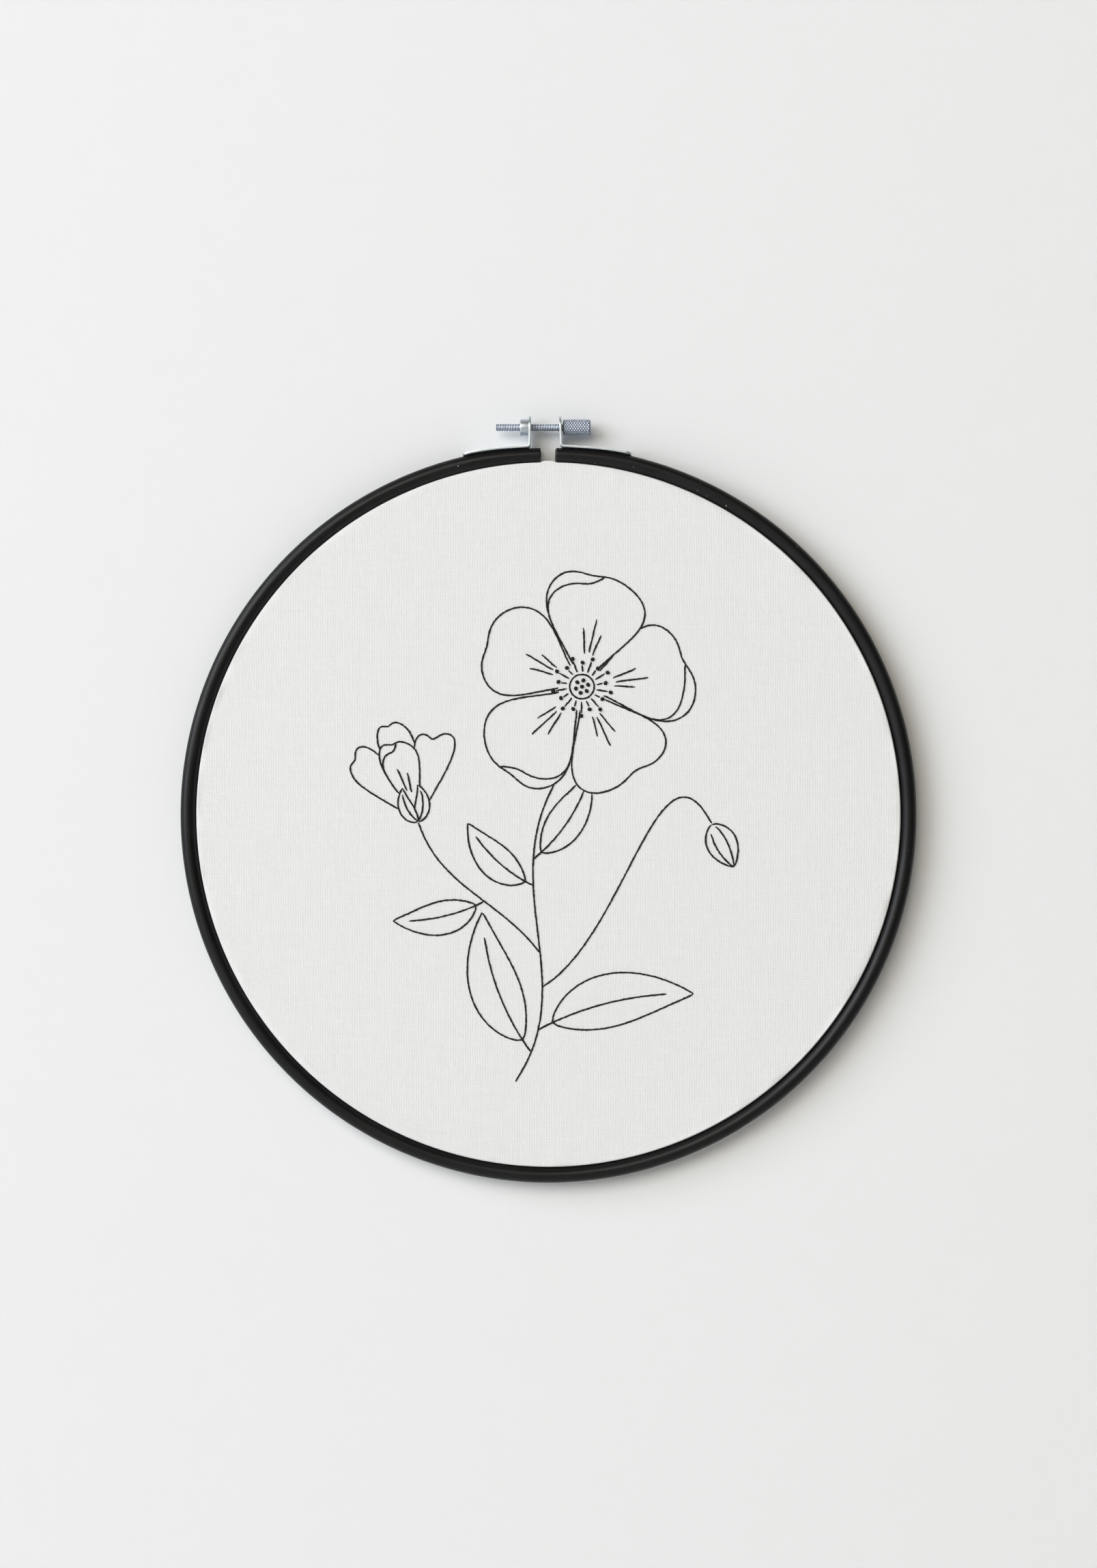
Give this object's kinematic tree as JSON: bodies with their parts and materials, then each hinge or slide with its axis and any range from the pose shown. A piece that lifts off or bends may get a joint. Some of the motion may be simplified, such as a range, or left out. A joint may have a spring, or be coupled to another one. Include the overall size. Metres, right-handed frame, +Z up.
{
  "type": "embroidered linen stretched in a split embroidery hoop with a clamp screw",
  "caption": "Round embroidered linen panel clamped in a black split hoop over a pale inner hoop, with sheet metal ears, a collar nut and a knurled thumb screw.",
  "frame": {"origin": "where a nail in the wall carries the inner hoop: the top of its inner wall, in the wall plane", "axes": "+Z up, +Y into the wall, +X to the right seen from the front; the embroidered face looks along -Y"},
  "size_m": [0.265, 0.0095, 0.276],
  "materials": {
    "black_paint": "satin black paint on wood",
    "pale_wood": "bare sanded wood",
    "linen": "plain weave, matt",
    "zinc": "zinc plated sheet",
    "steel": "bright plated, threaded and knurled",
    "floss": "twisted cotton thread"
  },
  "bodies": {
    "hoop": {"outer_hoop": "black_paint", "inner_hoop": "pale_wood", "cloth": "linen", "bracket_left": "zinc", "bracket_right": "zinc", "nut": "zinc"},
    "screw": {"thumb_screw": "steel"}
  },
  "joints": [
    {"name": "screw_turn", "type": "hinge", "parent": "hoop", "child": "screw", "pos_m": [0, -0.00475, 0.0185], "axis": [1, 0, 0], "continuous": true}
  ]
}
